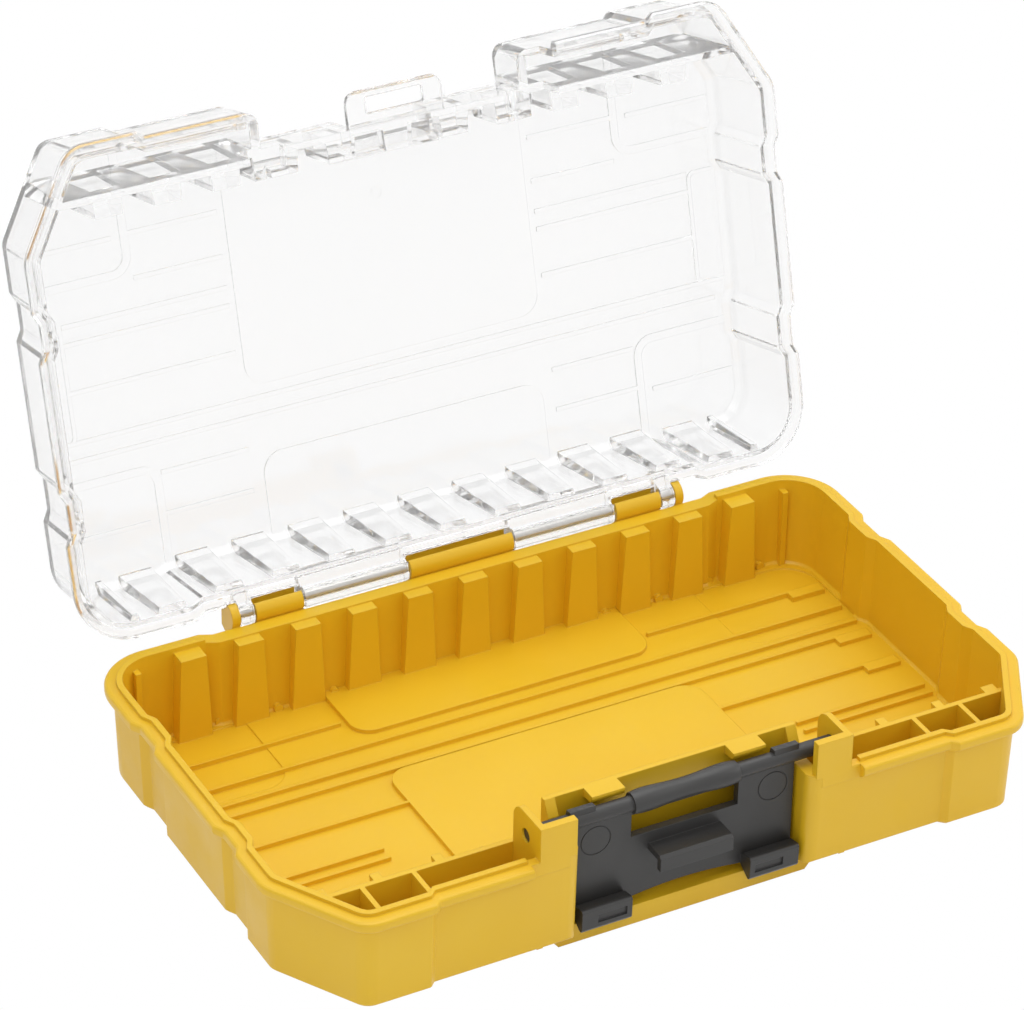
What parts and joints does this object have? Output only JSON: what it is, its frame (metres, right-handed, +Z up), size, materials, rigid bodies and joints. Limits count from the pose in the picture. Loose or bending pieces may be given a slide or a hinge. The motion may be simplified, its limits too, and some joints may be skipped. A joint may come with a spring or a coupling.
{
  "type": "bit storage case",
  "caption": "Shallow yellow tray with back ribs and front pockets, a clear hinged lid and a dark swinging latch; shown open.",
  "frame": {"origin": "middle of the resting face under the tray", "axes": "+X to the right along the width as seen from the latch side, +Y from the latch to the hinge, +Z up"},
  "size_m": [0.258, 0.2265, 0.1933],
  "materials": {
    "tray_plastic": "fine satin moulding texture",
    "lid_plastic": "clear and polished",
    "latch_plastic": "dark satin",
    "pin_steel": "drawn wire"
  },
  "bodies": {
    "tray": {"base_tray": "tray_plastic", "hinge_pin": "pin_steel"},
    "lid": {"clear_lid": "lid_plastic"},
    "latch": {"latch": "latch_plastic"}
  },
  "joints": [
    {"name": "lid_hinge", "type": "hinge", "parent": "tray", "child": "lid", "pos_m": [0, 0.07895, 0.0409], "axis": [1, 0, 0], "range_deg": [0, 105]},
    {"name": "latch_pivot", "type": "hinge", "parent": "tray", "child": "latch", "pos_m": [0, -0.065, 0.0427], "axis": [-1, 0, 0], "range_deg": [0, 180]}
  ]
}
